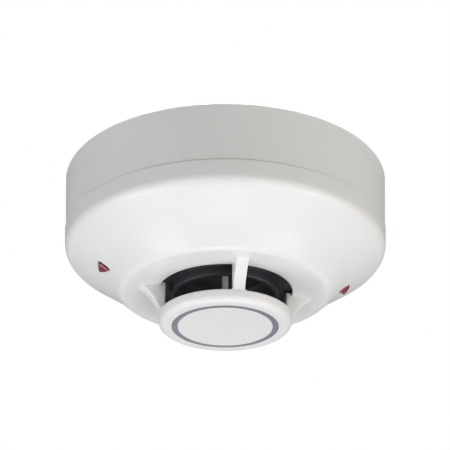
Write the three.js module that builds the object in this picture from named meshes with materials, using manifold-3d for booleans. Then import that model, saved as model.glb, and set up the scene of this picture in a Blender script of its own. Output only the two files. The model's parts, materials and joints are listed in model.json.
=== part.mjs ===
// Ceiling-mounted heat detector head on its bayonet base.
// Millimetres. The ceiling face is z = 0 and everything hangs below it, so every height is negative.
// Angles are measured from +X towards +Y, seen from above.
import * as THREE from 'three';
import { mergeVertices } from 'three/addons/utils/BufferGeometryUtils.js';
import Module from 'manifold-3d';

const wasm = await Module();
wasm.setup();

// ---- driving dimensions -------------------------------------------------------------------
const GAP = 0.3;                  // air left between two separate pieces
const ROUND_STEPS = 80;           // facets around the large mouldings
const SMALL_STEPS = 20;           // facets around pins, screws and holes

const BASE_TOP_R = 50.9;          // base radius at the ceiling
const BASE_LOW_R = 50.15;         // base radius at the seam
const BASE_LOW_Z = -18.05;        // lower rim of the base
const BASE_INNER_R = 48.6;
const PLATE_Z = -2.2;             // inner face of the base's back plate

const HEAD_TOP_Z = -18.35;        // upper rim of the head cover
const HEAD_TOP_R = 50.4;
const HEAD_LOW_R = 50.1;          // skirt radius where it rounds into the cone
const SKIRT_INNER_R = 48.4;
const SHOULDER = 4;               // rounding between the skirt and the cone
const CONE_TOP = [50.1, -24.95];  // outer cone, where it would meet the skirt: radius, height
const CONE_KNEE = [38.2, -33.0];  // the cone steepens a little below this
const CONE_LOW = [32.15, -38.5];  // outer cone, lower edge
const COVER_WALL = 1.8;
const MOUTH_R = 20.84;            // round mouth in the flat bottom of the cover
const MOUTH_Z = -37.87;
const FLOOR_INNER_Z = -36.65;     // upper face of the cover's flat bottom
const FLOOR_INNER_R = 31.5;       // where that face meets the inside of the cone
const KNEE_INNER_R = 37.1;        // the knee on the inside of the cone

const LEG_TURN = 11.5;            // angle of the first of the four legs
const LEG_HALF = 1.85;            // half thickness of a leg
const LEG_INNER_R = 19.0;
const LEG_OUTER = [27.4, -38.0];  // where a leg's outer edge leaves the cover

const DISC_R = 20.78;             // nose disc, at its upper edge
const DISC_LOW_R = 20.27;         // its tapered side carried down to the face
const DISC_TOP_Z = -45.8;
const DISC_FACE_Z = -49.45;
const RING_IN_R = 14.76;          // coloured ring let into the nose disc
const RING_OUT_R = 16.3;

const SLEEVE_R = 0.95;            // sensor sleeve on the axis
const CUP_OUTER_R = 17.2;         // sensor cup where it passes through the inner cover
const CUP_LIP = [16.05, -39.05];  // middle of its rounded lip
const CUP_LIP_ROUND = 0.75;
const CUP_INNER_R = 14.85;        // recess at its ceiling
const CUP_CEILING_Z = -30.4;

const BOARD_R = 42;
const BOARD_TOP_Z = -21.3;
const BOARD_LOW_Z = -22.9;

const CHASSIS_TOP_Z = -10.55;
const CHASSIS_PLATE = 1.8;
const CHASSIS_R = 45.4;
const LUG_R = 48.2;
const LUG_ARC = 12;               // degrees
const LEDGE_ARC = 16;
const LEDGE_IN_R = 46.0;
const LUG_DEPTH = 1.75;
const BAYONET_ANGLES = [90, 210, 330];
const LUG_SHIFT = 1;              // the lug sits this much past the middle of its ledge, against the stop

const TERMINAL_R = 33;            // radius at which the terminals sit
const TERMINAL_ANGLES = [45, 135, 225, 315];
const BOSS_LOW_Z = -5.0;
const CONTACT_REACH = 12;         // from a terminal's screw to its spring's nose
const CONTACT_Z = -9.1;           // lowest point of a contact spring

const SCREW_CIRCLE_R = 39;
const SCREW_ANGLES = [90, 210, 330];

const LENS_R = 38.4;              // radius of a lamp window's middle on the cone
const LENS_TURN = 12.1;           // angle of the right-hand lamp window
const LENS_ANGLES = { right: LENS_TURN, left: LENS_TURN + 180 };
const LENS_DOME = 1.0;            // rounding of its outer end

// ---- geometry helpers ---------------------------------------------------------------------
const rad = THREE.MathUtils.degToRad;

function volumeSign(geometry) {
  const p = geometry.attributes.position;
  const index = geometry.index;
  const a = new THREE.Vector3();
  const b = new THREE.Vector3();
  const c = new THREE.Vector3();
  let sum = 0;
  for (let i = 0; i < index.count; i += 3) {
    a.fromBufferAttribute(p, index.getX(i));
    b.fromBufferAttribute(p, index.getX(i + 1));
    c.fromBufferAttribute(p, index.getX(i + 2));
    sum += a.dot(b.cross(c));
  }
  return Math.sign(sum);
}

// A closed manifold solid from a three.js geometry, faces turned outwards.
function solid(source) {
  const geometry = source.clone();
  geometry.deleteAttribute('normal');
  geometry.deleteAttribute('uv');
  const merged = mergeVertices(geometry, 1e-4);
  const triangles = Array.from(merged.index.array);
  if (volumeSign(merged) < 0) {
    for (let i = 0; i < triangles.length; i += 3) {
      [triangles[i], triangles[i + 1]] = [triangles[i + 1], triangles[i]];
    }
  }
  const mesh = new wasm.Mesh({
    numProp: 3,
    vertProperties: new Float32Array(merged.attributes.position.array),
    triVerts: new Uint32Array(triangles.filter((_, i) => {
      const t = i - (i % 3);
      return triangles[t] !== triangles[t + 1]
        && triangles[t + 1] !== triangles[t + 2]
        && triangles[t] !== triangles[t + 2];
    })),
  });
  mesh.merge();
  return new wasm.Manifold(mesh);
}

function union(solids) {
  return solids.reduce((sum, next) => sum.add(next));
}

// Points of a circular arc in the radius-height plane, angles in degrees.
function arc(r, z, radius, from, to, steps) {
  return Array.from({ length: steps + 1 }, (_, i) => {
    const a = rad(from + ((to - from) * i) / steps);
    return [r + radius * Math.cos(a), z + radius * Math.sin(a)];
  });
}

// Turns an outline of [radius, height] points about the Z axis.
function turned(outline, steps = ROUND_STEPS) {
  const points = outline.map(([r, z]) => new THREE.Vector2(r, z));
  const first = outline[0];
  const last = outline[outline.length - 1];
  if (first[0] > 0 || last[0] > 0) points.push(points[0].clone());
  return solid(new THREE.LatheGeometry(points, steps).rotateX(Math.PI / 2));
}

function rod(radius, low, high, steps = SMALL_STEPS) {
  return turned([[0, high], [radius, high], [radius, low], [0, low]], steps);
}

function block(sizeX, sizeY, low, high) {
  return solid(new THREE.BoxGeometry(sizeX, sizeY, high - low).translate(0, 0, (low + high) / 2));
}

// A flat shape in XY, raised from low to high.
function raised(shape, low, high, curveSegments = 12) {
  const geometry = new THREE.ExtrudeGeometry(shape, { depth: high - low, bevelEnabled: false, curveSegments });
  return solid(geometry.translate(0, 0, low));
}

// Part of a flat ring between two angles.
function ringPart(inner, outer, from, to, low, high) {
  const shape = new THREE.Shape();
  shape.absarc(0, 0, outer, rad(from), rad(to), false);
  shape.absarc(0, 0, inner, rad(to), rad(from), true);
  return raised(shape, low, high, 6);
}

function obround(length, width, low, high) {
  const reach = (length - width) / 2;
  const shape = new THREE.Shape();
  shape.absarc(reach, 0, width / 2, -Math.PI / 2, Math.PI / 2, false);
  shape.absarc(-reach, 0, width / 2, Math.PI / 2, (3 * Math.PI) / 2, false);
  return raised(shape, low, high, 8);
}

// A side outline in the X-Z plane, given a thickness along Y and centred on it.
function standing(shape, thickness) {
  const geometry = new THREE.ExtrudeGeometry(shape, { depth: thickness, bevelEnabled: false, curveSegments: 10 });
  return solid(geometry.rotateX(Math.PI / 2).translate(0, thickness / 2, 0));
}

function shapeFrom(points) {
  return new THREE.Shape(points.map(([x, y]) => new THREE.Vector2(x, y)));
}

// Moves a solid out along X by radius, then round the axis to an angle.
function placed(body, radius, angle) {
  return body.translate([radius, 0, 0]).rotate([0, 0, angle]);
}

// ---- materials ----------------------------------------------------------------------------
const FINISH = {
  white: { color: 0xece9e2, roughness: 0.42, metalness: 0 },
  black: { color: 0x1c1d1f, roughness: 0.55, metalness: 0 },
  grey: { color: 0x77787a, roughness: 0.6, metalness: 0 },
  ring: { color: 0x8d8c9c, roughness: 0.5, metalness: 0 },
  red: { color: 0x9c1f3c, roughness: 0.2, metalness: 0 },
  brass: { color: 0xc9a54c, roughness: 0.35, metalness: 1 },
  steel: { color: 0xa9abad, roughness: 0.35, metalness: 1 },
  board: { color: 0x1f5a34, roughness: 0.55, metalness: 0 },
  chip: { color: 0x26272a, roughness: 0.5, metalness: 0 },
  glass: { color: 0x9fb9a8, roughness: 0.1, metalness: 0 },
  chassis: { color: 0xdad8d2, roughness: 0.5, metalness: 0 },
  bead: { color: 0x2a2624, roughness: 0.35, metalness: 0 },
};

const detector = new THREE.Group();
detector.name = 'heat_detector';

function addPiece(name, body, finish) {
  const mesh = body.getMesh();
  const geometry = new THREE.BufferGeometry();
  geometry.setAttribute('position', new THREE.BufferAttribute(new Float32Array(mesh.vertProperties), 3));
  geometry.setIndex(new THREE.BufferAttribute(new Uint32Array(mesh.triVerts), 1));
  geometry.computeVertexNormals();
  const piece = new THREE.Mesh(geometry, new THREE.MeshStandardMaterial(FINISH[finish]));
  piece.name = name;
  detector.add(piece);
}

// ---- base ---------------------------------------------------------------------------------
function baseShell() {
  const shell = turned([
    [0, 0],
    [BASE_TOP_R, 0],
    [BASE_LOW_R, BASE_LOW_Z],
    [BASE_INNER_R, BASE_LOW_Z],
    [BASE_INNER_R, PLATE_Z - 1],
    ...arc(BASE_INNER_R - 1, PLATE_Z - 1, 1, 0, 90, 3),
    [0, PLATE_Z],
  ]);
  const bosses = TERMINAL_ANGLES.map((angle) => placed(block(11, 11, BOSS_LOW_Z, PLATE_Z + 0.5), TERMINAL_R, angle));
  const ledgeTop = CHASSIS_TOP_Z - LUG_DEPTH - GAP;
  const stopHeight = 2.2;
  const ledges = BAYONET_ANGLES.flatMap((angle) => {
    const end = angle + LEDGE_ARC / 2;
    return [
      ringPart(LEDGE_IN_R, BASE_INNER_R + 0.6, end - LEDGE_ARC, end, ledgeTop - 1.8, ledgeTop),
      ringPart(LEDGE_IN_R, BASE_INNER_R + 0.6, end - 0.4, end + 1.6, ledgeTop - 1.8, ledgeTop + stopHeight),
    ];
  });
  const fixingSlots = [30, -30].map((x) => obround(16, 4.5, PLATE_Z - 1, 1).translate([x, 0, 0]));
  const cableEntry = obround(20, 10, PLATE_Z - 1, 1).translate([0, 17, 0]);
  const screwHoles = TERMINAL_ANGLES.map((angle) => placed(rod(1.5 + GAP, BOSS_LOW_Z - 1, -1.2), TERMINAL_R, angle));
  return union([shell, ...bosses, ...ledges]).subtract(union([...fixingSlots, cableEntry, ...screwHoles]));
}

// A bent leaf: flat on its boss, then sloping down to a rounded nose that meets the head's blade.
function contactSpring() {
  const top = BOSS_LOW_Z - GAP;
  const thick = 0.5;
  const nose = CONTACT_REACH;
  const shape = shapeFrom([
    [-5, top],
    [5.2, top],
    [nose, CONTACT_Z + thick + 0.1],
    [nose + 2.4, CONTACT_Z + thick + 1.2],
    [nose + 2.7, CONTACT_Z + 1.3],
    [nose + 0.6, CONTACT_Z],
    [nose - 0.5, CONTACT_Z],
    [5.0, top - thick],
    [-5, top - thick],
  ]);
  const leaf = standing(shape, 6.6).subtract(rod(1.5 + GAP, CONTACT_Z, 0));
  return leaf.rotate([0, 0, 90]);
}

function clampWasher() {
  const top = BOSS_LOW_Z - 2 * GAP - 0.5;
  return block(8, 8, top - 0.8, top).subtract(rod(1.5 + GAP, top - 2, top + 1));
}

function terminalScrew() {
  const headTop = BOSS_LOW_Z - 3 * GAP - 1.3;
  const headLow = headTop - 1.6;
  const head = turned([
    [0, headTop],
    [2.9, headTop],
    [2.9, headLow + 0.6],
    [2.3, headLow],
    [0, headLow],
  ], SMALL_STEPS);
  const cross = block(3.4, 0.7, headLow - 1, headLow + 0.8).add(block(0.7, 3.4, headLow - 1, headLow + 0.8));
  return head.add(rod(1.5, headTop - 0.2, -1.6)).subtract(cross);
}

addPiece('base_shell', baseShell(), 'white');
TERMINAL_ANGLES.forEach((angle, i) => {
  addPiece(`contact_spring_${i + 1}`, placed(contactSpring(), TERMINAL_R, angle), 'brass');
  addPiece(`clamp_washer_${i + 1}`, placed(clampWasher(), TERMINAL_R, angle), 'steel');
  addPiece(`terminal_screw_${i + 1}`, placed(terminalScrew(), TERMINAL_R, angle), 'steel');
});

// ---- head: the cone, in two slopes that meet at the knee --------------------------------------
const upperSlope = Math.atan2(CONE_TOP[1] - CONE_KNEE[1], CONE_TOP[0] - CONE_KNEE[0]);
const lowerSlope = Math.atan2(CONE_KNEE[1] - CONE_LOW[1], CONE_KNEE[0] - CONE_LOW[0]);
const lampSlope = (upperSlope + lowerSlope) / 2;

// Height of the outer cone at a radius, moved inwards by a depth square to the surface.
function coneHeight(r, depth = 0) {
  const heights = [upperSlope, lowerSlope].map((slope) => (
    CONE_KNEE[1] + (r - CONE_KNEE[0]) * Math.tan(slope) + depth / Math.cos(slope)
  ));
  return Math.min(...heights);
}

const innerConeHeight = (r) => coneHeight(r, COVER_WALL);

// ---- head: the sensor cage, four legs that carry the nose disc --------------------------------
function leg() {
  const shape = new THREE.Shape();
  const foot = DISC_TOP_Z - 1.2;
  const head = FLOOR_INNER_Z - GAP;
  shape.moveTo(LEG_INNER_R, foot);
  shape.lineTo(DISC_R - 0.3, foot);
  shape.lineTo(DISC_R - 0.1, DISC_TOP_Z - 0.1);
  shape.quadraticCurveTo(22.74, -40.96, LEG_OUTER[0], LEG_OUTER[1]);
  shape.lineTo(LEG_OUTER[0], head - 0.2);
  shape.lineTo(LEG_INNER_R, head);
  shape.closePath();
  return standing(shape, 2 * LEG_HALF);
}

function noseDisc() {
  const edge = 2.2;
  const draft = Math.atan2(DISC_R - DISC_LOW_R, DISC_TOP_Z - DISC_FACE_Z);
  const edgeR = DISC_LOW_R + edge * Math.tan(draft) - edge / Math.cos(draft);
  const disc = turned([
    [0, DISC_FACE_Z],
    ...arc(edgeR, DISC_FACE_Z + edge, edge, -90, -THREE.MathUtils.radToDeg(draft), 4),
    ...arc(DISC_R - 0.6, DISC_TOP_Z - 0.6, 0.6, 0, 90, 2),
    [18.4, DISC_TOP_Z],
    [18.4, DISC_FACE_Z + 2.05],
    [0, DISC_FACE_Z + 2.05],
  ], 64);
  const groove = turned([
    [RING_IN_R - GAP, DISC_FACE_Z - 1],
    [RING_OUT_R + GAP, DISC_FACE_Z - 1],
    [RING_OUT_R + GAP, DISC_FACE_Z + 0.9],
    [RING_IN_R - GAP, DISC_FACE_Z + 0.9],
  ], 64);
  return disc.subtract(groove);
}

// Everything the cage keeps clear of: the cover's mouth and flat bottom, grown by the gap.
function coverKeepOut() {
  return turned([
    [MOUTH_R - GAP, FLOOR_INNER_Z + 1],
    [MOUTH_R - GAP, MOUTH_Z - GAP],
    [CONE_LOW[0], CONE_LOW[1] - GAP],
    [CONE_LOW[0], FLOOR_INNER_Z + 1],
  ]);
}

function noseCage() {
  const legs = [0, 90, 180, 270].map((step) => leg().rotate([0, 0, LEG_TURN + step]));
  return union([union(legs).subtract(coverKeepOut()), noseDisc()]);
}

// ---- head: cover --------------------------------------------------------------------------------
// A lamp window: a rounded three-sided hole whose blunt side faces the front of the detector.
// Its corners are [up the cone, across it]; each is pulled in and then rounded back out.
function lampOutline(grow, side) {
  const flip = side === 'right' ? 1 : -1;
  const pullIn = 0.9;
  const round = 0.55 + grow;
  const corners = [[1.9, -1.6], [-2.4, -1.95], [0.8, 3.4]].map(([u, v]) => {
    const reach = Math.hypot(u, v);
    return [(u * (reach - pullIn)) / reach, (v * flip * (reach - pullIn)) / reach];
  });
  if (flip < 0) corners.reverse();
  const shape = new THREE.Shape();
  corners.forEach(([u, v], i) => {
    const [beforeU, beforeV] = corners[(i + 2) % 3];
    const [afterU, afterV] = corners[(i + 1) % 3];
    const from = Math.atan2(v - beforeV, u - beforeU) + Math.PI / 2;
    const to = Math.atan2(afterV - v, afterU - u) + Math.PI / 2;
    shape.absarc(u, v, round, from, to, true);
  });
  shape.closePath();
  return shape;
}

// The window's prism, its outer end at a height above the cone surface, along the cone's normal.
// A dome draws both of its ends in.
function lampPrism(grow, side, outside, inside, dome = 0) {
  const geometry = new THREE.ExtrudeGeometry(lampOutline(grow, side), {
    depth: outside + inside - 2 * dome,
    bevelEnabled: dome > 0,
    bevelThickness: dome,
    bevelSize: dome / 2,
    bevelOffset: -dome / 2,
    bevelSegments: 4,
    curveSegments: 4,
  });
  geometry.translate(0, 0, dome - inside);
  const outward = new THREE.Vector3(Math.sin(lampSlope), 0, -Math.cos(lampSlope));
  const upSlope = new THREE.Vector3(Math.cos(lampSlope), 0, Math.sin(lampSlope));
  const across = new THREE.Vector3(0, 1, 0);
  geometry.applyMatrix4(new THREE.Matrix4().makeBasis(upSlope, across, outward));
  geometry.translate(LENS_R, 0, coneHeight(LENS_R));
  return solid(geometry).rotate([0, 0, LENS_ANGLES[side]]);
}

function headCover() {
  const edge = 0.9;
  const shoulderTurn = 90 - THREE.MathUtils.radToDeg(upperSlope);
  const shoulderReach = SHOULDER * Math.tan(rad(shoulderTurn / 2));
  const shell = turned([
    [HEAD_TOP_R - 0.2, HEAD_TOP_Z],
    [HEAD_TOP_R, HEAD_TOP_Z - 0.2],
    ...arc(HEAD_LOW_R - SHOULDER, CONE_TOP[1] + shoulderReach, SHOULDER, 0, -shoulderTurn, 4),
    CONE_KNEE,
    [CONE_LOW[0] + edge * Math.cos(lowerSlope), CONE_LOW[1] + edge * Math.sin(lowerSlope)],
    [CONE_LOW[0] + 0.05, CONE_LOW[1] + 0.16],
    [CONE_LOW[0] - edge, CONE_LOW[1]],
    [MOUTH_R + 0.3, MOUTH_Z - 0.12],
    [MOUTH_R, MOUTH_Z + 0.2],
    [MOUTH_R, FLOOR_INNER_Z],
    [FLOOR_INNER_R, FLOOR_INNER_Z],
    [KNEE_INNER_R, innerConeHeight(KNEE_INNER_R)],
    [SKIRT_INNER_R, innerConeHeight(SKIRT_INNER_R)],
    [SKIRT_INNER_R, HEAD_TOP_Z],
  ]);
  const postLow = innerConeHeight(SCREW_CIRCLE_R) - 2.4;
  const postTop = BOARD_TOP_Z + 0.1;
  const posts = SCREW_ANGLES.map((angle) => placed(rod(2.6, postLow, postTop), SCREW_CIRCLE_R, angle));
  const coreHoles = SCREW_ANGLES.map((angle) => (
    placed(rod(1.25 + GAP, innerConeHeight(SCREW_CIRCLE_R) - 0.3, postTop + 1), SCREW_CIRCLE_R, angle)
  ));
  const windows = ['left', 'right'].map((side) => lampPrism(GAP, side, 3, 6));
  const outside = turned([
    [BASE_TOP_R + 5, 0],
    [BASE_TOP_R + 5, -60],
    [20, -60],
    [20, CONE_LOW[1] - 0.01],
    [CONE_LOW[0], CONE_LOW[1] - 0.01],
    [CONE_KNEE[0], CONE_KNEE[1] - 0.01],
    [CONE_TOP[0], CONE_TOP[1] - 0.01],
    [BASE_TOP_R, CONE_TOP[1] + 0.2],
    [BASE_TOP_R, 0],
  ]);
  const trimmedPosts = union(posts).subtract(outside);
  return union([shell, trimmedPosts]).subtract(union([...coreHoles, ...windows]));
}

function ringInsert() {
  return turned([
    [RING_IN_R, DISC_FACE_Z + 0.05],
    [RING_OUT_R, DISC_FACE_Z + 0.05],
    [RING_OUT_R, DISC_FACE_Z + 0.6],
    [RING_IN_R, DISC_FACE_Z + 0.6],
  ], 64);
}

// ---- head: black inner cover, a ring plate with an upstand to the board ------------------------
const flangeLow = FLOOR_INNER_Z + GAP;
const flangeTop = flangeLow + 1.5;

function innerCover() {
  const inner = CUP_OUTER_R + GAP;
  const fillet = 0.9;
  return turned([
    [29.5, flangeTop],
    [29.5, flangeLow],
    ...arc(inner + 0.4 + fillet, flangeLow - fillet, fillet, 90, 180, 3),
    [inner, flangeLow - fillet],
    [inner, flangeTop],
    [26.0, flangeTop],
    [26.0, BOARD_LOW_Z - GAP],
    [27.5, BOARD_LOW_Z - GAP],
    [27.5, flangeTop],
  ], 56);
}

// ---- head: black cup round the sensing recess, its rounded lip below the cover's mouth ---------
function sensorCup() {
  const [lipR, lipZ] = CUP_LIP;
  const boreR = SLEEVE_R + GAP;
  return turned([
    [CUP_OUTER_R, flangeTop],
    [CUP_OUTER_R, flangeLow - 1.2],
    ...arc(lipR, lipZ, CUP_LIP_ROUND, 0, -180, 5),
    [CUP_INNER_R, CUP_CEILING_Z - 1],
    ...arc(CUP_INNER_R - 1, CUP_CEILING_Z - 1, 1, 0, 90, 2),
    [2.4, CUP_CEILING_Z],
    [2.2, CUP_CEILING_Z - 1.2],
    [boreR, CUP_CEILING_Z - 1.2],
    [boreR, CUP_CEILING_Z + 1.5],
    [CUP_INNER_R - 0.2, CUP_CEILING_Z + 1.5],
    [CUP_OUTER_R - 0.6, CUP_CEILING_Z - 0.2],
  ], 56);
}

// ---- head: the heat sensor on the axis --------------------------------------------------------
const SLEEVE_TOP_Z = -28.6;
const SLEEVE_LOW_Z = -41.2;

function thermistorSleeve() {
  return turned([
    [0, SLEEVE_TOP_Z],
    [SLEEVE_R, SLEEVE_TOP_Z],
    [SLEEVE_R, SLEEVE_LOW_Z + 0.3],
    [SLEEVE_R - 0.25, SLEEVE_LOW_Z],
    [0, SLEEVE_LOW_Z],
  ], SMALL_STEPS);
}

function thermistorBead() {
  const top = SLEEVE_LOW_Z - GAP;
  return turned([
    [0, top],
    [0.5, top],
    ...arc(0, top - 1.5, 1.2, 55, -90, 7),
  ], SMALL_STEPS);
}

addPiece('head_cover', headCover(), 'white');
addPiece('nose_cage', noseCage(), 'white');
addPiece('ring_insert', ringInsert(), 'ring');
addPiece('inner_cover', innerCover(), 'black');
addPiece('sensor_cup', sensorCup(), 'black');
addPiece('thermistor_sleeve', thermistorSleeve(), 'grey');
addPiece('thermistor_bead', thermistorBead(), 'bead');
[1, -1].forEach((side, i) => {
  const lead = rod(0.25, SLEEVE_TOP_Z + GAP, BOARD_LOW_Z - GAP, 10).translate([side * 0.5, 0, 0]);
  addPiece(`thermistor_lead_${i + 1}`, lead, 'steel');
});

// ---- head: lamps and their windows ------------------------------------------------------------
const LED_R = 34.4;

function lamp() {
  const top = BOARD_LOW_Z - GAP;
  return turned([
    [0, top],
    [1.9, top],
    [1.9, top - 0.8],
    [1.5, top - 0.8],
    ...arc(0, top - 2.8, 1.5, 0, -90, 4),
  ], SMALL_STEPS);
}

['left', 'right'].forEach((side) => {
  addPiece(`lens_${side}`, lampPrism(0, side, LENS_DOME + 0.1, 5.2, LENS_DOME), 'red');
  addPiece(`led_${side}`, placed(lamp(), LED_R, LENS_ANGLES[side]), 'red');
});

// ---- head: circuit board and what it carries ----------------------------------------------------
function circuitBoard() {
  const board = rod(BOARD_R, BOARD_LOW_Z, BOARD_TOP_Z, 72);
  const postHoles = SCREW_ANGLES.map((angle) => (
    placed(rod(2.6 + GAP, BOARD_LOW_Z - 1, BOARD_TOP_Z + 1), SCREW_CIRCLE_R, angle)
  ));
  return board.subtract(union(postHoles));
}

function reedSwitch() {
  const tube = new THREE.CylinderGeometry(1.2, 1.2, 13, SMALL_STEPS);
  const leads = new THREE.CylinderGeometry(0.3, 0.3, 20, 8);
  return solid(tube).add(solid(leads));
}

const onBoard = BOARD_TOP_Z + GAP;
const underBoard = BOARD_LOW_Z - GAP;

addPiece('circuit_board', circuitBoard(), 'board');
addPiece('microcontroller', block(9, 9, onBoard, onBoard + 1.6).translate([-9, 6, 0]), 'chip');
addPiece('bridge_rectifier', block(8, 6.4, onBoard, onBoard + 2.8).translate([14, -14, 0]), 'chip');
addPiece('film_capacitor', block(7.2, 3, onBoard, onBoard + 5.5).translate([9, 6, 0]), 'red');
addPiece('electrolytic_capacitor', rod(3.15, onBoard, onBoard + 7).translate([-14, -12, 0]), 'steel');
addPiece('reed_switch', reedSwitch().translate([0, 30, onBoard + 1.2]).rotate([0, 0, 100]), 'glass');
addPiece('reference_thermistor', rod(1.1, underBoard - 2.6, underBoard, 14).translate([-12, -9, 0]), 'bead');

// ---- head: chassis, its contact blades and screws ---------------------------------------------
const bladeTurn = THREE.MathUtils.radToDeg(Math.atan2(CONTACT_REACH, TERMINAL_R));
const BLADE_R = Math.hypot(CONTACT_REACH, TERMINAL_R);
const BLADE_TOP_Z = CONTACT_Z - GAP;
const BLADE_THICK = 0.8;
const TAB_SHIFT = 4.1;            // from a blade's middle to its downward tab

function chassis() {
  const under = CHASSIS_TOP_Z - CHASSIS_PLATE;
  const flangeTop = -19.0;
  const flangeLow = -20.6;
  const wallIn = CHASSIS_R - CHASSIS_PLATE;
  const shell = turned([
    [0, CHASSIS_TOP_Z],
    [CHASSIS_R, CHASSIS_TOP_Z],
    [CHASSIS_R, flangeTop],
    [SKIRT_INNER_R - 0.4, flangeTop],
    [SKIRT_INNER_R - 0.4, flangeLow],
    [wallIn, flangeLow],
    [wallIn, under],
    [0, under],
  ], 72);
  const lugs = BAYONET_ANGLES.map((angle) => {
    const from = angle + LUG_SHIFT - LUG_ARC / 2;
    return ringPart(CHASSIS_R - 0.6, LUG_R, from, from + LUG_ARC, CHASSIS_TOP_Z - LUG_DEPTH, CHASSIS_TOP_Z);
  });
  const tubes = SCREW_ANGLES.map((angle) => (
    placed(rod(2.9, BOARD_TOP_Z + 0.4, under + 0.2), SCREW_CIRCLE_R, angle)
  ));
  const stays = [20, 110, 200, 290].map((angle) => placed(rod(1.8, onBoard, under + 0.2), 21, angle));
  const bores = SCREW_ANGLES.flatMap((angle) => [
    placed(rod(1.25 + GAP, -25, 0), SCREW_CIRCLE_R, angle),
    placed(rod(2.5 + GAP, CHASSIS_TOP_Z - 1.9, 0), SCREW_CIRCLE_R, angle),
  ]);
  const slots = TERMINAL_ANGLES.map((angle) => {
    const slot = block(4.6 + 2 * GAP, BLADE_THICK + 2 * GAP, under - 1, 0).translate([0, TAB_SHIFT, 0]);
    return placed(slot, BLADE_R, angle + bladeTurn);
  });
  return union([shell, ...lugs, ...tubes, ...stays]).subtract(union([...bores, ...slots]));
}

function contactBlade() {
  const low = BLADE_TOP_Z - BLADE_THICK;
  const tab = block(4.6, BLADE_THICK, onBoard, low + 0.4).translate([0, TAB_SHIFT, 0]);
  return block(6.8, 9, low, BLADE_TOP_Z).add(tab);
}

function chassisScrew() {
  const headTop = CHASSIS_TOP_Z - 0.1;
  const headLow = headTop - 1.5;
  const head = turned([[0, headTop], [2.5, headTop], [2.5, headLow], [0, headLow]], SMALL_STEPS);
  const cross = block(3.2, 0.6, headTop - 0.8, headTop + 1).add(block(0.6, 3.2, headTop - 0.8, headTop + 1));
  return head.add(rod(1.25, -28.5, headLow + 0.2)).subtract(cross);
}

addPiece('chassis', chassis(), 'chassis');
TERMINAL_ANGLES.forEach((angle, i) => {
  addPiece(`contact_blade_${i + 1}`, placed(contactBlade(), BLADE_R, angle + bladeTurn), 'brass');
});
SCREW_ANGLES.forEach((angle, i) => {
  addPiece(`chassis_screw_${i + 1}`, placed(chassisScrew(), SCREW_CIRCLE_R, angle), 'steel');
});

export default detector;
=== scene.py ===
"""Heat detector on its base: the visual model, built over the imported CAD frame.

Lengths in the geometry sections are in millimetres, with the ceiling face at height 0 and
everything below it negative, and are turned into metres where a mesh is made.
"""
import json
import math

import bmesh
import bpy
from mathutils import Matrix, Vector

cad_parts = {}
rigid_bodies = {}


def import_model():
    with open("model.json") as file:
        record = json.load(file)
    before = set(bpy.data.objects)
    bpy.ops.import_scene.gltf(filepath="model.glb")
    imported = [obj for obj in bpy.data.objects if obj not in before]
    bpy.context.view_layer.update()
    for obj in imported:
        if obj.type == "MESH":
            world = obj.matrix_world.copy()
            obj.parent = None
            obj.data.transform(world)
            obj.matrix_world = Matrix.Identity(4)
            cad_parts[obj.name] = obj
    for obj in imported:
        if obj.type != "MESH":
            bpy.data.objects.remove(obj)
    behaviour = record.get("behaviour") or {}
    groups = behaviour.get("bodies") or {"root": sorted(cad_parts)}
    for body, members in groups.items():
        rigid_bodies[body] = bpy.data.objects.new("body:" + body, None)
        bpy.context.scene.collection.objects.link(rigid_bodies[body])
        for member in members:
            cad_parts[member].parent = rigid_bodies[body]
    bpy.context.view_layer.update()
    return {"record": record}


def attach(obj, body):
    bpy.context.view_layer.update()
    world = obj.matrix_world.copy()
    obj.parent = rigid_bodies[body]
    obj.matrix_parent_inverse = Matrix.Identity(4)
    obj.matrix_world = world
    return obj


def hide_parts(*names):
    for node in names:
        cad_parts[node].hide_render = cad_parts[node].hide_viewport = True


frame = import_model()

MM = 0.001
SAME_POINT = 1e-7         # metres: points closer than this are one point
WELD = 0.003 * MM         # corners closer than this after a boolean become one
TURN_STEPS = 256          # facets round the large mouldings
ON_AXIS = 1e-6            # a radius smaller than this is a point on the axis
LONGEST_ROUND = 0.49      # most of a side that the rounding of one corner takes up
CUT_PAST = 1              # how far a cutting shape runs past the surface that it cuts

# ---- camera --------------------------------------------------------------------------------------
CAMERA_PLACE = (-0.00012, -0.46152, -0.24705)
CAMERA_PITCH = 26.765     # degrees above level
CAMERA_ROLL = 0.15        # degrees
CAMERA_LENS = 130.64      # with a 36 mm sensor


def add_camera():
    """The camera, below and in front of the detector, looking up at it."""
    data = bpy.data.cameras.new("camera")
    data.sensor_width = 36.0
    data.lens = CAMERA_LENS
    data.clip_start = 0.01
    camera = bpy.data.objects.new("camera", data)
    camera.location = CAMERA_PLACE
    pitch = Matrix.Rotation(math.radians(90 + CAMERA_PITCH), 3, "X")
    roll = Matrix.Rotation(math.radians(CAMERA_ROLL), 3, "Z")
    camera.rotation_euler = (pitch @ roll).to_euler()
    bpy.context.scene.collection.objects.link(camera)
    bpy.context.scene.camera = camera


add_camera()

# ---- sizes, as in the CAD apart from the seam and the lip of the sensor cup ----------------------
BASE_TOP_R = 50.9
BASE_LOW_R = 50.15
BASE_LOW_Z = -18.05
BASE_INNER_R = 48.6
PLATE_Z = -2.2
SEAM_GAP = 0.14           # the seam as it shows: narrower than the air gap between the CAD pieces
SEAM_STEP_R = 49.7        # a lip on the head stands up behind the base's rim at this radius
SEAM_STEP = 0.75

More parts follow.
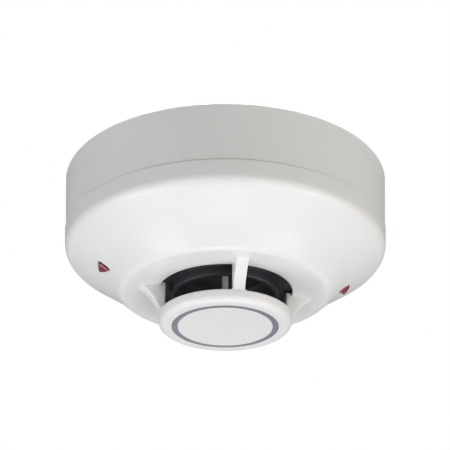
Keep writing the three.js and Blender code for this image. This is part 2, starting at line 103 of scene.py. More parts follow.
HEAD_TOP_Z = -18.35
SEAM_Z = (BASE_LOW_Z + HEAD_TOP_Z) / 2
HEAD_TOP_R = 50.4
SKIRT_INNER_R = 48.4
SHOULDER = 4.0
CONE_TOP = (50.1, -24.95)
CONE_KNEE = (38.2, -33.0)
CONE_LOW = (32.15, -38.5)
COVER_WALL = 1.8
MOUTH_R = 20.84
MOUTH_Z = -37.87
FLOOR_INNER_Z = -36.65
FLOOR_INNER_R = 31.5
KNEE_INNER_R = 37.1

LEG_TURN = 11.5
LEG_HALF = 1.85
LEG_INNER_R = 19.0

DISC_R = 20.78
DISC_LOW_R = 20.27
DISC_TOP_Z = -45.8
DISC_FACE_Z = -49.45
RING_IN_R = 14.76
RING_OUT_R = 16.3

SLEEVE_R = 0.95
SLEEVE_TOP_Z = -28.6
SLEEVE_LOW_Z = -41.2
SLEEVE_WOBBLE = 0.03
CUP_OUTER_R = 17.2
CUP_LIP = (16.05, -38.8)  # ends 0.4 higher than the CAD lip, and is squarer at its edges
CUP_LIP_HALF = 0.6        # half its thickness
CUP_INNER_R = 14.85
CUP_CEILING_Z = -30.4
CUP_BACK_Z = CUP_CEILING_Z + 1.5
CUP_BOSS_Z = CUP_CEILING_Z - 1.2
CUP_PAINTED_LIGHT_R = CUP_INNER_R + 0.6  # closer to the axis than this, the cup's colour is painted lighter: painted light for the light that reaches into the cup

CHASSIS_TOP_Z = -10.55
LUG_DEPTH = 1.75
LEDGE_ARC = 16
LEDGE_IN_R = 46.0
BAYONET_ANGLES = (90, 210, 330)
TERMINAL_R = 33
TERMINAL_ANGLES = (45, 135, 225, 315)
BOSS_LOW_Z = -5.0
BOSS_SIDE = 11
SCREW_HOLE_R = 1.8
SCREW_HOLE_TOP_Z = -1.2
LEDGE_THICK = 1.8
STOP_RISE = 2.2
FIXING_SLOT = (16, 4.5)   # length, width
FIXING_SLOT_X = 30
CABLE_ENTRY = (20, 10)    # length, width
CABLE_ENTRY_Y = 17
BOARD_LOW_Z = -22.9

LENS_R = 38.4
LENS_TURN = 12.1
LENS_ANGLES = {"right": LENS_TURN, "left": LENS_TURN + 180}

UPPER_SLOPE = math.atan2(CONE_TOP[1] - CONE_KNEE[1], CONE_TOP[0] - CONE_KNEE[0])
LOWER_SLOPE = math.atan2(CONE_KNEE[1] - CONE_LOW[1], CONE_KNEE[0] - CONE_LOW[0])
LAMP_SLOPE = (UPPER_SLOPE + LOWER_SLOPE) / 2


def cone_height(r, depth=0.0):
    """Height of the outer cone at a radius, moved inwards by a depth square to the surface."""
    return min(
        CONE_KNEE[1] + (r - CONE_KNEE[0]) * math.tan(slope) + depth / math.cos(slope)
        for slope in (UPPER_SLOPE, LOWER_SLOPE)
    )


def floor_height(r):
    """Height of the flat bottom ring's lower face at a radius."""
    rise = (MOUTH_Z - CONE_LOW[1]) / (CONE_LOW[0] - MOUTH_R)
    return CONE_LOW[1] + (CONE_LOW[0] - r) * rise


# ---- mesh helpers --------------------------------------------------------------------------------
def new_object(name, verts, faces):
    """A mesh object from points in millimetres, faces turned outwards."""
    mesh = bpy.data.meshes.new(name)
    mesh.from_pydata([Vector(v) * MM for v in verts], [], faces)
    bm = bmesh.new()
    bm.from_mesh(mesh)
    bmesh.ops.remove_doubles(bm, verts=bm.verts, dist=SAME_POINT)
    bmesh.ops.recalc_face_normals(bm, faces=bm.faces)
    bm.to_mesh(mesh)
    bm.free()
    obj = bpy.data.objects.new(name, mesh)
    bpy.context.scene.collection.objects.link(obj)
    return obj


def rounded(corners, steps=6):
    """An outline from (radius, height, corner radius) points, its corners turned into arcs."""
    points = []
    count = len(corners)
    for i, (r, z, radius) in enumerate(corners):
        here = Vector((r, z))
        before = Vector(corners[i - 1][:2]) - here
        after = Vector(corners[(i + 1) % count][:2]) - here
        if radius == 0 or before.length == 0 or after.length == 0:
            points.append((r, z))
            continue
        half = before.angle(after) / 2
        reach = min(radius / math.tan(half), LONGEST_ROUND * before.length, LONGEST_ROUND * after.length)
        start = here + before.normalized() * reach
        end = here + after.normalized() * reach
        centre = here + (before.normalized() + after.normalized()).normalized() * (reach / math.cos(half))
        first = start - centre
        sweep = first.angle_signed(end - centre)
        for k in range(steps + 1):
            arm = first.copy()
            arm.rotate(Matrix.Rotation(-sweep * k / steps, 2))
            points.append(tuple(centre + arm))
    return points


def revolve(name, outline, steps=TURN_STEPS):
    """Turns a closed outline about the Z axis. Points on the axis become single vertices."""
    verts = []
    rings = []
    for r, z in outline:
        if r < ON_AXIS:
            rings.append([len(verts)] * steps)
            verts.append((0, 0, z))
            continue
        rings.append(list(range(len(verts), len(verts) + steps)))
        for k in range(steps):
            a = 2 * math.pi * k / steps
            verts.append((r * math.cos(a), r * math.sin(a), z))
    faces = []
    for a, b in zip(rings, rings[1:] + rings[:1]):
        if a[0] == a[1] and b[0] == b[1]:
            continue
        for k in range(steps):
            n = (k + 1) % steps
            corners = [a[k], a[n], b[n], b[k]]
            faces.append(list(dict.fromkeys(corners)))
    return new_object(name, verts, faces)


def loft(name, rings):
    """Joins rings of the same number of points, and caps both ends."""
    count = len(rings[0])
    verts = [p for ring in rings for p in ring]
    faces = []
    for i in range(len(rings) - 1):
        for k in range(count):
            n = (k + 1) % count
            faces.append((i * count + k, i * count + n, (i + 1) * count + n, (i + 1) * count + k))
    faces.append(tuple(range(count)))
    faces.append(tuple(range((len(rings) - 1) * count, len(rings) * count)))
    return new_object(name, verts, faces)


def turned_to(obj, radius, angle):
    """Moves a mesh out along X by radius and round the axis to an angle."""
    turn = Matrix.Rotation(math.radians(angle), 4, "Z")
    obj.data.transform(turn @ Matrix.Translation((radius * MM, 0, 0)))
    return obj


def combine(target, tools, operation):
    """Applies exact booleans to target, deletes the tools and welds what the cuts left too close."""
    for tool in tools:
        step = target.modifiers.new("step", "BOOLEAN")
        step.operation = operation
        step.solver = "EXACT"
        step.object = tool
        bpy.context.view_layer.update()
        graph = bpy.context.evaluated_depsgraph_get()
        made = bpy.data.meshes.new_from_object(target.evaluated_get(graph))
        target.modifiers.clear()
        old = target.data
        target.data = made
        bpy.data.meshes.remove(old)
        bpy.data.objects.remove(tool)
    work = bmesh.new()
    work.from_mesh(target.data)
    bmesh.ops.remove_doubles(work, verts=work.verts, dist=WELD)
    bmesh.ops.dissolve_degenerate(work, edges=work.edges, dist=WELD)
    work.to_mesh(target.data)
    work.free()
    return target


def obround(length, width, grow=0.0, steps=10):
    """Points of a slot shape: two half circles joined by straight sides."""
    reach = (length - width) / 2
    radius = width / 2 + grow
    ends = []
    for side in (1, -1):
        for k in range(steps + 1):
            a = math.radians(-90 + 180 * k / steps) + (0 if side > 0 else math.pi)
            ends.append((side * reach + radius * math.cos(a), radius * math.sin(a)))
    return ends


def slot_cutter(size, low, top, x, y):
    """The shape that cuts a slot through the back plate, its two mouths slightly flared."""
    length, width = size
    flare = 0.35
    levels = [
        (low - CUT_PAST, flare),
        (low, flare),
        (low + flare, 0),
        (top - flare, 0),
        (top, flare),
        (top + CUT_PAST, flare),
    ]
    rings = [[(px + x, py + y, z) for px, py in obround(length, width, grow)] for z, grow in levels]
    return loft("cutter", rings)


def soft_block(name, size_x, size_y, low, high, soft=0.4):
    """A block with chamfered upright edges and a chamfered lower rim."""
    def ring(inset, z):
        x = size_x / 2 - inset
        y = size_y / 2 - inset
        c = soft
        return [(x - c, -y, z), (x, -y + c, z), (x, y - c, z), (x - c, y, z),
                (-x + c, y, z), (-x, y - c, z), (-x, -y + c, z), (-x + c, -y, z)]
    return loft(name, [ring(soft, low), ring(0, low + soft), ring(0, high)])


def ring_part(name, inner, outer, start, end, low, high, steps=10):
    """A stretch of a flat ring between two angles, its inner edges chamfered."""
    edge = 0.25
    rings = []
    for z, inset in ((low, edge), (low + edge, 0), (high - edge, 0), (high, edge)):
        ring = []
        for k in range(steps + 1):
            a = math.radians(start + (end - start) * k / steps)
            ring.append((outer * math.cos(a), outer * math.sin(a), z))
        for k in range(steps, -1, -1):
            a = math.radians(start + (end - start) * k / steps)
            ring.append(((inner + inset) * math.cos(a), (inner + inset) * math.sin(a), z))
        rings.append(ring)
    return loft(name, rings)


# ---- materials -----------------------------------------------------------------------------------
class Shader:
    """A short way to write a node material."""

    def __init__(self, name):
        self.material = bpy.data.materials.new(name)
        self.material.use_nodes = True
        self.tree = self.material.node_tree
        self.tree.nodes.clear()
        output = self.tree.nodes.new("ShaderNodeOutputMaterial")
        self.surface = self.tree.nodes.new("ShaderNodeBsdfPrincipled")
        self.tree.links.new(self.surface.outputs[0], output.inputs[0])
        self.place = self.tree.nodes.new("ShaderNodeTexCoord").outputs["Object"]

    def set(self, **values):
        for key, value in values.items():
            self.surface.inputs[key.replace("_", " ")].default_value = value
        return self

    def link(self, socket, output):
        self.tree.links.new(output, self.surface.inputs[socket])
        return self

    def noise(self, scale, detail=2.0, rough=0.5, stretch=None):
        node = self.tree.nodes.new("ShaderNodeTexNoise")
        node.inputs["Scale"].default_value = scale
        node.inputs["Detail"].default_value = detail
        node.inputs["Roughness"].default_value = rough
        source = self.place
        if stretch:
            mapping = self.tree.nodes.new("ShaderNodeMapping")
            mapping.inputs["Scale"].default_value = stretch
            self.tree.links.new(source, mapping.inputs["Vector"])
            source = mapping.outputs[0]
        self.tree.links.new(source, node.inputs["Vector"])
        return node.outputs["Fac"]

    def cells(self, scale, feature="F1"):
        node = self.tree.nodes.new("ShaderNodeTexVoronoi")
        node.feature = feature
        node.inputs["Scale"].default_value = scale
        self.tree.links.new(self.place, node.inputs["Vector"])
        return node.outputs["Distance"]

    def ramp(self, value, stops):
        node = self.tree.nodes.new("ShaderNodeValToRGB")
        ramp = node.color_ramp
        while len(ramp.elements) < len(stops):
            ramp.elements.new(0.5)
        for element, (position, colour) in zip(ramp.elements, stops):
            element.position = position
            element.color = (*colour, 1.0) if len(colour) == 3 else colour
        self.tree.links.new(value, node.inputs["Fac"])
        return node.outputs["Color"]

    def span(self, value, low, high):
        node = self.tree.nodes.new("ShaderNodeMapRange")
        node.inputs["To Min"].default_value = low
        node.inputs["To Max"].default_value = high
        self.tree.links.new(value, node.inputs["Value"])
        return node.outputs["Result"]

    def mix(self, factor, a, b, blend="MIX"):
        node = self.tree.nodes.new("ShaderNodeMix")
        node.data_type = "RGBA"
        node.blend_type = blend
        for socket, value in ((0, factor), (6, a), (7, b)):
            if isinstance(value, (int, float)):
                node.inputs[socket].default_value = value
            elif isinstance(value, tuple):
                node.inputs[socket].default_value = (*value, 1.0)
            else:
                self.tree.links.new(value, node.inputs[socket])
        return node.outputs[2]

    def within(self, radius):
        """1 closer to the detector's axis than the radius in millimetres, 0 further out."""
        flat = self.tree.nodes.new("ShaderNodeVectorMath")
        flat.operation = "MULTIPLY"
        flat.inputs[1].default_value = (1, 1, 0)
        reach = self.tree.nodes.new("ShaderNodeVectorMath")
        reach.operation = "LENGTH"
        test = self.tree.nodes.new("ShaderNodeMath")
        test.operation = "LESS_THAN"
        test.inputs[1].default_value = radius * MM
        self.tree.links.new(self.place, flat.inputs[0])
        self.tree.links.new(flat.outputs["Vector"], reach.inputs[0])
        self.tree.links.new(reach.outputs["Value"], test.inputs[0])
        return test.outputs[0]

    def bump(self, value, strength, distance, under=None):
        node = self.tree.nodes.new("ShaderNodeBump")
        node.inputs["Strength"].default_value = strength
        node.inputs["Distance"].default_value = distance
        self.tree.links.new(value, node.inputs["Height"])
        if under is not None:
            self.tree.links.new(under, node.inputs["Normal"])
        return node.outputs[0]


def moulded(name, light, dark, roughness, grain=0.10, spread=0.06):
    """Moulded plastic: a slow drift of tone, a fine spark-eroded grain, and faint handling marks."""
    shader = Shader(name)
    drift = shader.ramp(shader.noise(22, 3, 0.55), [(0.35, dark), (0.65, light)])
    specks = shader.ramp(shader.noise(2600, 2, 0.6), [(0.30, (0.955,) * 3), (0.62, (1, 1, 1))])
    shader.link("Base Color", shader.mix(1.0, drift, specks, "MULTIPLY"))
    wipe = shader.noise(60, 4, 0.6, (1, 1, 3))
    shader.link("Roughness", shader.span(wipe, roughness - spread, roughness + spread))
    fine = shader.bump(shader.noise(3800, 3, 0.6), grain, 0.00006)
    broad = shader.bump(shader.noise(120, 2, 0.5), 0.10, 0.0001, fine)
    shader.link("Normal", broad)
    return shader


def metal(name, light, dark, roughness, stretch):
    """Rolled or plated metal: drawn streaks, small stains and a fine tooth."""
    shader = Shader(name).set(Metallic=1.0)
    streaks = shader.noise(900, 4, 0.6, stretch)
    tone = shader.ramp(shader.noise(150, 4, 0.6), [(0.3, dark), (0.6, light)])
    shader.link("Base Color", shader.mix(0.25, tone, shader.ramp(streaks, [(0.3, dark), (0.7, light)])))
    shader.link("Roughness", shader.span(streaks, roughness - 0.1, roughness + 0.12))
    shader.link("Normal", shader.bump(streaks, 0.15, 0.00005))
    return shader


white = moulded("white_moulding", (0.86, 0.86, 0.855), (0.83, 0.83, 0.825), 0.30)
white.set(Subsurface_Weight=0.3, Subsurface_Radius=(1.0, 1.0, 1.0), Subsurface_Scale=0.0015)
ring_plastic = moulded("ring_plastic", (0.26, 0.26, 0.31), (0.22, 0.22, 0.27), 0.45)
sleeve_plastic = moulded("sleeve_plastic", (0.92, 0.92, 0.93), (0.84, 0.84, 0.85), 0.4, 0.25)
chassis_plastic = moulded("chassis_plastic", (0.70, 0.69, 0.65), (0.66, 0.65, 0.61), 0.5)
brass = metal("brass", (0.78, 0.58, 0.24), (0.55, 0.38, 0.14), 0.3, (1, 1, 0.1))
steel = metal("steel", (0.66, 0.67, 0.68), (0.48, 0.49, 0.50), 0.32, (1, 0.15, 1))


def black_material():
    """Charcoal moulding; inside the sensor cup the colour is painted a lighter grey, painted light
    standing in for the light that reaches into the cup.
    """
    shader = moulded("black_moulding", (0.019, 0.021, 0.026), (0.015, 0.017, 0.021), 0.44, 0.2)
    outside = shader.surface.inputs["Base Color"].links[0].from_socket
    clouds = shader.noise(40, 3)
    # painted light: the same black moulding, coloured lighter grey inside the cup to stand in for light
    # falling into it
    painted_light_inside = shader.ramp(clouds, [(0.3, (0.062, 0.070, 0.077)), (0.7, (0.074, 0.082, 0.090))])
    shader.link("Base Color", shader.mix(shader.within(CUP_PAINTED_LIGHT_R), outside, painted_light_inside))
    return shader


def resin_material():
    """The bead's glossy dark resin."""
    shader = moulded("sensor_resin", (0.022, 0.019, 0.017), (0.014, 0.012, 0.011), 0.22, 0.3)
    shader.set(Coat_Weight=0.4, Coat_Roughness=0.12)
    return shader


def lens_material():
    """Clear red plastic over the unlit lamp: deep red, with a faint inner mottling."""
    shader = Shader("red_lens").set(IOR=1.49, Coat_Weight=0.6, Coat_Roughness=0.08)
    mottle = shader.noise(700, 3, 0.5)
    tone = shader.ramp(mottle, [(0.3, (0.13, 0.010, 0.030)), (0.7, (0.31, 0.028, 0.078))])
    shader.link("Base Color", tone)
    shader.link("Roughness", shader.span(shader.noise(1500, 2, 0.5), 0.12, 0.24))
    shader.link("Normal", shader.bump(shader.noise(1800, 2, 0.5), 0.08, 0.00005))
    return shader


def board_material():
    """Green solder mask with the tracks showing faintly beneath it."""
    shader = Shader("board").set(Coat_Weight=0.3, Coat_Roughness=0.2)
    tracks = shader.cells(260, "DISTANCE_TO_EDGE")
    tone = shader.ramp(tracks, [(0.03, (0.05, 0.20, 0.07)), (0.07, (0.015, 0.095, 0.032))])
    clouds = shader.ramp(shader.noise(90, 3), [(0.3, (0.01, 0.07, 0.02)), (0.7, (0.03, 0.14, 0.05))])
    shader.link("Base Color", shader.mix(0.2, tone, clouds))
    shader.link("Roughness", shader.span(shader.noise(400, 3), 0.3, 0.5))
    shader.link("Normal", shader.bump(tracks, 0.2, 0.00005))
    return shader


def component_material():
    """Near-black plastic of the parts on the board."""
    return moulded("component", (0.03, 0.03, 0.032), (0.018, 0.018, 0.02), 0.5, 0.3)


def glass_material():
    """The reed switch's greenish glass."""
    shader = Shader("reed_glass").set(IOR=1.5, Transmission_Weight=0.7)
    tone = shader.ramp(shader.noise(500, 2), [(0.3, (0.52, 0.70, 0.58)), (0.7, (0.62, 0.78, 0.68))])
    shader.link("Base Color", tone)
    shader.link("Roughness", shader.span(shader.noise(900, 2), 0.04, 0.12))
    return shader


MATERIALS = {
    "white_moulding": white,
    "black_moulding": black_material(),
    "ring_plastic": ring_plastic,
    "sleeve_plastic": sleeve_plastic,
    "sensor_resin": resin_material(),
    "red_lens": lens_material(),
    "chassis_plastic": chassis_plastic,
    "brass": brass,
    "steel": steel,
    "board": board_material(),
    "component": component_material(),
    "reed_glass": glass_material(),
}


def dress(obj, nodes, body, slot, sharp=32):
    """Finishes a piece that stands for one or more CAD nodes."""
    obj.data.materials.clear()
    obj.data.materials.append(MATERIALS[slot].material)
    for face in obj.data.polygons:
        face.material_index = 0
        face.use_smooth = True
    obj.data.set_sharp_from_angle(angle=math.radians(sharp))
    weigh = obj.modifiers.new("weigh", "WEIGHTED_NORMAL")
    weigh.keep_sharp = True
    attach(obj, body)
    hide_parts(*nodes)
    return obj


# ---- base ----------------------------------------------------------------------------------------
def base_shell():
    """The ceiling base: drum and back plate with bosses, bayonet ledges, slots and screw holes."""
    rim = SEAM_Z + SEAM_GAP / 2
    shell = revolve("base_drum", rounded([
        (0, 0, 0),
        (BASE_TOP_R, 0, 0.5),
        (BASE_LOW_R, rim, 0.25),
        (SEAM_STEP_R, rim, 0.1),
        (SEAM_STEP_R, rim + SEAM_STEP, 0.1),
        (BASE_INNER_R, rim + SEAM_STEP, 0.3),
        (BASE_INNER_R, PLATE_Z, 1.0),
        (0, PLATE_Z, 0),
    ]))
    added = []
    for angle in TERMINAL_ANGLES:
        boss = soft_block("boss", BOSS_SIDE, BOSS_SIDE, BOSS_LOW_Z, PLATE_Z + 0.5)
        added.append(turned_to(boss, TERMINAL_R, angle))
    ledge_top = CHASSIS_TOP_Z - LUG_DEPTH - 0.3
    for angle in BAYONET_ANGLES:
        end = angle + LEDGE_ARC / 2
        outer = BASE_INNER_R + 0.6
        ledge_low = ledge_top - LEDGE_THICK
        stop_top = ledge_top + STOP_RISE
        added.append(ring_part("ledge", LEDGE_IN_R, outer, end - LEDGE_ARC, end, ledge_low, ledge_top))
        added.append(ring_part("stop", LEDGE_IN_R, outer, end - 0.4, end + 1.6, ledge_low, stop_top, 2))
    combine(shell, added, "UNION")
    cuts = [
        slot_cutter(FIXING_SLOT, PLATE_Z, 0, FIXING_SLOT_X, 0),
        slot_cutter(FIXING_SLOT, PLATE_Z, 0, -FIXING_SLOT_X, 0),
        slot_cutter(CABLE_ENTRY, PLATE_Z, 0, 0, CABLE_ENTRY_Y),
    ]
    for angle in TERMINAL_ANGLES:
        hole_low = BOSS_LOW_Z - CUT_PAST
        outline = [
            (0, SCREW_HOLE_TOP_Z),
            (SCREW_HOLE_R, SCREW_HOLE_TOP_Z),
            (SCREW_HOLE_R, hole_low),
            (0, hole_low),
        ]
        cuts.append(turned_to(revolve("hole", outline, 32), TERMINAL_R, angle))
    return combine(shell, cuts, "DIFFERENCE")


dress(base_shell(), ("base_shell",), "base", "white_moulding")


# ---- head cover: skirt, cone, bottom ring, legs and nose disc in one moulding --------------------
def cover_shell():
    """The head's skirt, shoulder, two-slope cone and flat bottom ring round the mouth."""
    rim = SEAM_Z - SEAM_GAP / 2
    lip_r = SEAM_STEP_R - 0.15
    lip_top = rim + SEAM_STEP - 0.1
    return revolve("cover_shell", rounded([
        (lip_r, lip_top, 0.1),
        (lip_r, rim, 0.08),
        (HEAD_TOP_R, rim, 0.25),
        (CONE_TOP[0], CONE_TOP[1], SHOULDER),
        (CONE_KNEE[0], CONE_KNEE[1], 30.0),
        (CONE_LOW[0], CONE_LOW[1], 3.5),
        (MOUTH_R, MOUTH_Z, 0.2),
        (MOUTH_R, FLOOR_INNER_Z, 0.2),
        (FLOOR_INNER_R, FLOOR_INNER_Z, 0.5),
        (KNEE_INNER_R, cone_height(KNEE_INNER_R, COVER_WALL), 3.0),
        (SKIRT_INNER_R, cone_height(SKIRT_INNER_R, COVER_WALL), 1.0),
        (SKIRT_INNER_R, lip_top, 0.2),
    ]))


def nose_disc():
    """The flat disc under the mouth: a groove for the ring below, a shallow dish above."""
    dish = DISC_FACE_Z + 2.05
    dish_r = 18.4
    groove = DISC_FACE_Z + 0.75
    groove_gap = 0.12
    return revolve("nose_disc", rounded([
        (0, DISC_FACE_Z, 0),
        (RING_IN_R - groove_gap, DISC_FACE_Z, 0.12),
        (RING_IN_R - groove_gap, groove, 0.05),
        (RING_OUT_R + groove_gap, groove, 0.05),
        (RING_OUT_R + groove_gap, DISC_FACE_Z, 0.12),
        (DISC_LOW_R, DISC_FACE_Z, 2.2),
        (DISC_R, DISC_TOP_Z, 0.5),
        (dish_r, DISC_TOP_Z, 0.3),
        (dish_r, dish, 0.6),
        (0, dish, 0),
    ]))


def bezier(a, b, c, t):
    """A point on a quadratic curve from a to c, pulled towards b."""
    return tuple((1 - t) ** 2 * p + 2 * t * (1 - t) * q + t * t * s for p, q, s in zip(a, b, c))


def smooth_step(low, high, value):
    """0 below low, 1 above high, and a smooth rise between them."""
    t = min(max((value - low) / (high - low), 0), 1)
    return t * t * (3 - 2 * t)


def leg_ring(outer_r, depth):
    """One section of a leg, parallel to the bottom ring, at a depth below its lower face."""
    fillet = 0.5
    foot_fillet = 0.5
    corner = 0.4
    grow = 0.0
    if depth < fillet:
        grow = fillet - math.sqrt(max(fillet ** 2 - (fillet - max(depth, 0)) ** 2, 0))
    to_disc = floor_height(LEG_INNER_R) - depth - DISC_TOP_Z
    foot = 0.0
    if to_disc < foot_fillet:
        foot = foot_fillet - math.sqrt(max(foot_fillet ** 2 - (foot_fillet - max(to_disc, 0)) ** 2, 0))
    low_x = LEG_INNER_R
    high_x = outer_r + grow
    points = []
    side_steps = 10
    corners = [
        (high_x - corner, LEG_HALF - corner, 0),
        (low_x + corner, LEG_HALF - corner, 90),
        (low_x + corner, -LEG_HALF + corner, 180),
        (high_x - corner, -LEG_HALF + corner, 270),
    ]
    for i, (x, y, start) in enumerate(corners):
        for k in range(5):
            a = math.radians(start + 90 * k / 4)
            points.append((x + corner * math.cos(a), y + corner * math.sin(a)))
        if i in (0, 2):
            nx = corners[(i + 1) % 4][0]
            for k in range(1, side_steps):
                points.append((x + (nx - x) * k / side_steps, y + (corner if i == 0 else -corner)))
    ring = []
    for x, y in points:
        flare = grow * smooth_step(MOUTH_R, MOUTH_R + 1.6, x) + foot
        y += math.copysign(flare, y) * min(abs(y) / (LEG_HALF - corner), 1)
        ring.append((x, y, floor_height(x) - depth))
    return ring


def leg(angle):
    """One of the four thin legs, its outer edge a curve from the bottom ring to the disc."""
    top = (27.4, -38.0)
    bottom = (DISC_R - 0.15, DISC_TOP_Z - 0.1)
    bend = (22.74, -40.96)
    rings = [leg_ring(top[0], -0.95), leg_ring(top[0], -0.4)]
    steps = 26
    for k in range(steps + 1):
        r, z = bezier(top, bend, bottom, k / steps)
        depth = floor_height(r) - z
        if depth > -0.3:
            rings.append(leg_ring(r, depth))
    rings.append(leg_ring(DISC_R - 0.3, floor_height(DISC_R) - DISC_TOP_Z + 1.1))
    return turned_to(loft("leg", rings), 0, angle)


LAMP_CORNERS = ((1.9, -1.6), (-2.4, -1.95), (0.8, 3.4))
DOME_MIDDLE = (-0.8, 0.8)  # where the dome stands highest: (up the cone, across)
LAMP_DOME = 1.1           # height of a lamp window's dome above the cone


def lamp_outline(grow, scale, side, steps=8):
    """The three-sided lamp window: (up the cone, across) points, with its corners rounded."""
    flip = 1 if side == "right" else -1
    pull_in = 0.9
    radius = 0.55 + grow
    mid_u = DOME_MIDDLE[0]
    mid_v = DOME_MIDDLE[1] * flip
    corners = []
    for u, v in LAMP_CORNERS:
        reach = math.hypot(u, v)
        corners.append((u * (reach - pull_in) / reach, v * flip * (reach - pull_in) / reach))
    if flip < 0:
        corners.reverse()
    points = []
    for i, (u, v) in enumerate(corners):
        pu, pv = corners[i - 1]
        nu, nv = corners[(i + 1) % 3]
        start = math.atan2(v - pv, u - pu) + math.pi / 2
        end = math.atan2(nv - v, nu - u) + math.pi / 2
        while end > start:
            end -= 2 * math.pi
        for k in range(steps + 1):
            a = start + (end - start) * k / steps
            out_u = u + radius * math.cos(a) - mid_u
            out_v = v + radius * math.sin(a) - mid_v
            points.append((mid_u + scale * out_u, mid_v + scale * out_v))
    return points


def lamp_loft(name, side, levels):
    """Lofts the lamp outline square to the cone. Levels are (height above it, growth, scale)."""
    up = Vector((math.cos(LAMP_SLOPE), 0, math.sin(LAMP_SLOPE)))
    across = Vector((0, 1, 0))
    outward = Vector((math.sin(LAMP_SLOPE), 0, -math.cos(LAMP_SLOPE)))
    centre = Vector((LENS_R, 0, cone_height(LENS_R)))
    rings = []
    for height, grow, scale in levels:
        outline = lamp_outline(grow, scale, side)
        rings.append([centre + up * u + across * v + outward * height for u, v in outline])
    return turned_to(loft(name, rings), 0, LENS_ANGLES[side])


def head_cover():
    """The cover, the legs and the disc as one moulding, with the two lamp windows cut in."""
    shell = cover_shell()
    solids = [nose_disc()] + [leg(LEG_TURN + step) for step in (0, 90, 180, 270)]
    combine(shell, solids, "UNION")
    cuts = []
    for side in ("left", "right"):
        gap = 0.13
        flared = 0.38
        levels = [(-6, gap, 1), (-0.3, gap, 1), (0.02, flared, 1), (3, flared, 1)]
        cuts.append(lamp_loft("cutter", side, levels))
    return combine(shell, cuts, "DIFFERENCE")


dress(head_cover(), ("head_cover", "nose_cage"), "head", "white_moulding")


# ---- head: ring insert, inner cover, sensor ------------------------------------------------------
def ring_insert():
    """The coloured ring, set just above the disc's face in its groove."""
    low = DISC_FACE_Z + 0.05
    top = DISC_FACE_Z + 0.6
    return revolve("ring_band", rounded([
        (RING_IN_R, low, 0.12),
        (RING_OUT_R, low, 0.12),
        (RING_OUT_R, top, 0.05),
        (RING_IN_R, top, 0.05),
    ]))


def inner_cover():
    """The black ring plate and the cup that passes through it, in one moulding."""
    flange_low = FLOOR_INNER_Z + 0.3
    flange_top = flange_low + 1.5
    flange_r = 29.5
    wall_in_r = 26.0
    wall_out_r = 27.5
    wall_top = BOARD_LOW_Z - 0.3
    lip_low = CUP_LIP[1] - CUP_LIP_HALF
    bore = SLEEVE_R + 0.2
    return revolve("sensor_collar", rounded([
        (flange_r, flange_top, 0.2),
        (flange_r, flange_low, 0.2),
        (CUP_OUTER_R, flange_low, 0.35),
        (CUP_LIP[0] + CUP_LIP_HALF, lip_low, 0.95),
        (CUP_LIP[0] - CUP_LIP_HALF, lip_low, 0.2),
        (CUP_INNER_R, CUP_CEILING_Z, 1.0),
        (2.4, CUP_CEILING_Z, 0.2),
        (2.2, CUP_BOSS_Z, 0.2),
        (bore, CUP_BOSS_Z, 0.1),
        (bore, CUP_BACK_Z, 0.1),
        (CUP_INNER_R - 0.2, CUP_BACK_Z, 0.5),
        (CUP_OUTER_R - 0.6, CUP_CEILING_Z - 0.2, 0.5),
        (CUP_OUTER_R, flange_top, 0.5),
        (wall_in_r, flange_top, 0.4),
        (wall_in_r, wall_top, 0.2),
        (wall_out_r, wall_top, 0.2),
        (wall_out_r, flange_top, 0.4),
    ]), 192)


def wavy_rod(name, radius, top, low, wobble, steps=40):
    """A shrunk sleeve: a rod whose radius wavers a little along its length."""
    outline = [(0, top), (radius - 0.1, top)]
    for k in range(steps + 1):
        t = k / steps
        z = top - 0.1 - (top - low - 0.4) * t
        ripple = math.sin(t * 37.0) * 0.5 + math.sin(t * 91.0 + 1.3) * 0.3
        outline.append((radius + wobble * (ripple - 0.8), z))
    outline += [(radius - 0.3, low), (0, low)]
    return revolve(name, outline, 48)


def sensor_bead():
    """The round resin bead that ends the post."""
    top = -41.5
    bead_r = 1.2
    middle = top - 1.5
    steps = 24
    outline = [(0, top), (0.5, top)]
    for k in range(steps):
        a = math.radians(55 - 145 * k / steps)
        outline.append((bead_r * math.cos(a), middle + bead_r * math.sin(a)))
    return revolve("sensor_bead", outline + [(0, top - 2.7)], 48)


def lens(side):
    """A domed lamp window on a stem that reaches back through the cone."""
    stem = -5.2
    spring = 0.05             # height above the cone where the dome starts
    steps = 8
    levels = [(stem, 0, 1), (spring, 0, 1)]
    for k in range(1, steps + 1):
        a = math.radians(84) * k / steps
        levels.append((spring + (LAMP_DOME - spring) * math.sin(a), 0, math.cos(a) ** 0.7))
    return lamp_loft("lamp_lens_" + side, side, levels)


dress(ring_insert(), ("ring_insert",), "head", "ring_plastic")
dress(inner_cover(), ("inner_cover", "sensor_cup"), "head", "black_moulding")
sleeve = wavy_rod("sensor_sleeve", SLEEVE_R, SLEEVE_TOP_Z, SLEEVE_LOW_Z, SLEEVE_WOBBLE)
dress(sleeve, ("thermistor_sleeve",), "head", "sleeve_plastic")
dress(sensor_bead(), ("thermistor_bead",), "head", "sensor_resin")
for lamp_side in ("left", "right"):
    dress(lens(lamp_side), ("lens_" + lamp_side,), "head", "red_lens", 50)

# ---- carried-over CAD pieces: their own materials ------------------------------------------------
REPLACED = {
    "base_shell", "head_cover", "nose_cage", "ring_insert", "inner_cover", "sensor_cup",
    "thermistor_sleeve", "thermistor_bead", "lens_left", "lens_right",
}
for part in frame["record"]["subparts"]:
    if part["node"] in REPLACED:
        continue
    node_object = bpy.data.objects[part["node"]]
    for socket in node_object.material_slots:
        socket.material = MATERIALS[part["material_slot"]].material


# ---- stage: pale floor, soft lights, white surround ----------------------------------------------
LIGHT_REACH = 1.5
LIGHT_SIZE = 0.8
LIGHT_AIM = Vector((0, 0, -0.03))
FLOOR_HALF = 30000        # half its side: far enough out for no corner to show
FLOOR_Z = -2400
FLOOR_GLOW = 0.85         # seen by the camera only, so it adds no light to the detector
SURROUND_COLOUR = (0.99, 1.0, 0.97, 1)
SURROUND_STRENGTH = 0.2   # what lights the detector; the camera itself sees white


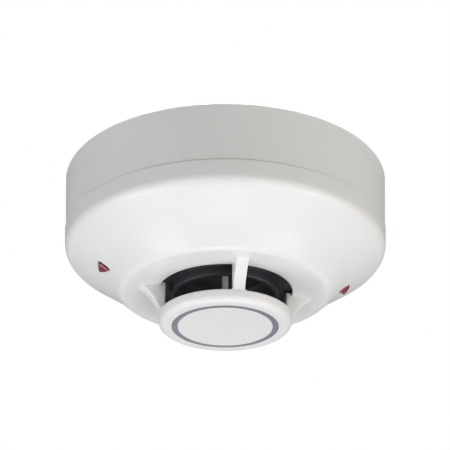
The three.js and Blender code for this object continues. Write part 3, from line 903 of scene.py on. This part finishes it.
def add_floor():
    """A pale floor with a faint drift of tone."""
    sides = ((-1, -1), (1, -1), (1, 1), (-1, 1))
    corners = [(x * FLOOR_HALF, y * FLOOR_HALF, FLOOR_Z) for x, y in sides]
    floor = new_object("floor", corners, [(0, 1, 2, 3)])
    shader = Shader("floor")
    tone = shader.ramp(shader.noise(3, 3), [(0.3, (0.80, 0.80, 0.79)), (0.7, (0.84, 0.84, 0.83))])
    shader.link("Base Color", tone).set(Roughness=0.8)
    shader.link("Emission Color", tone)
    path = shader.tree.nodes.new("ShaderNodeLightPath")
    glow = shader.span(path.outputs["Is Camera Ray"], 0.0, FLOOR_GLOW)
    shader.link("Emission Strength", glow)
    floor.data.materials.append(shader.material)


def add_light(name, azimuth, elevation, power, colour, size=LIGHT_SIZE):
    """A soft disc light aimed at the middle of the detector; azimuth 0 is on the viewer's side."""
    data = bpy.data.lights.new(name, "AREA")
    data.shape = "DISK"
    data.size = size
    data.energy = power
    data.color = colour
    light = bpy.data.objects.new(name, data)
    turn = math.radians(azimuth)
    tilt = math.radians(elevation)
    flat = math.cos(tilt)
    side = Vector((math.sin(turn) * flat, -math.cos(turn) * flat, math.sin(tilt)))
    light.location = LIGHT_AIM + side * LIGHT_REACH
    light.rotation_euler = side.to_track_quat("Z", "Y").to_euler()
    bpy.context.scene.collection.objects.link(light)


def add_surround():
    """White behind the detector for the camera, and a dim light from all round for everything else."""
    world = bpy.data.worlds.new("surround")
    bpy.context.scene.world = world
    world.use_nodes = True
    tree = world.node_tree
    tree.nodes.clear()
    output = tree.nodes.new("ShaderNodeOutputWorld")
    seen = tree.nodes.new("ShaderNodeBackground")
    seen.inputs["Color"].default_value = (1, 1, 1, 1)
    lit = tree.nodes.new("ShaderNodeBackground")
    lit.inputs["Color"].default_value = SURROUND_COLOUR
    lit.inputs["Strength"].default_value = SURROUND_STRENGTH
    path = tree.nodes.new("ShaderNodeLightPath")
    choose = tree.nodes.new("ShaderNodeMixShader")
    tree.links.new(path.outputs["Is Camera Ray"], choose.inputs[0])
    tree.links.new(lit.outputs[0], choose.inputs[1])
    tree.links.new(seen.outputs[0], choose.inputs[2])
    tree.links.new(choose.outputs[0], output.inputs[0])


add_floor()
add_light("front_left", -35, -26, 2.4, (0.98, 0.98, 1.0), 0.6)
add_light("front_right", 35, -26, 2.6, (0.98, 0.98, 1.0), 0.6)
add_light("front_low", 0, -50, 0.5, (1.0, 0.96, 0.98))
add_light("front_right_low", 40, -50, 2.0, (0.95, 1.0, 0.97))
add_light("below", 180, -82, 3.0, (0.99, 0.98, 0.99), 0.5)
add_light("left_low", -75, -50, 4.7, (0.90, 0.97, 1.0))
add_light("left", -75, -28, 5.2, (1.0, 0.96, 0.97))
add_light("left_level", -60, -3, 1.2, (1.0, 0.98, 0.98))
add_light("right_low", 75, -50, 3.3, (0.90, 0.98, 1.0))
add_light("right", 75, -28, 5.2, (0.99, 0.93, 0.96))
add_light("right_level", 55, -3, 2.9, (1.0, 0.86, 0.66))
add_light("top", 0, 88, 3.0, (1.0, 1.0, 1.0))
add_light("back", 180, 60, 14.0, (1.0, 1.0, 1.0))
add_surround()
bpy.context.scene.view_settings.view_transform = "Standard"
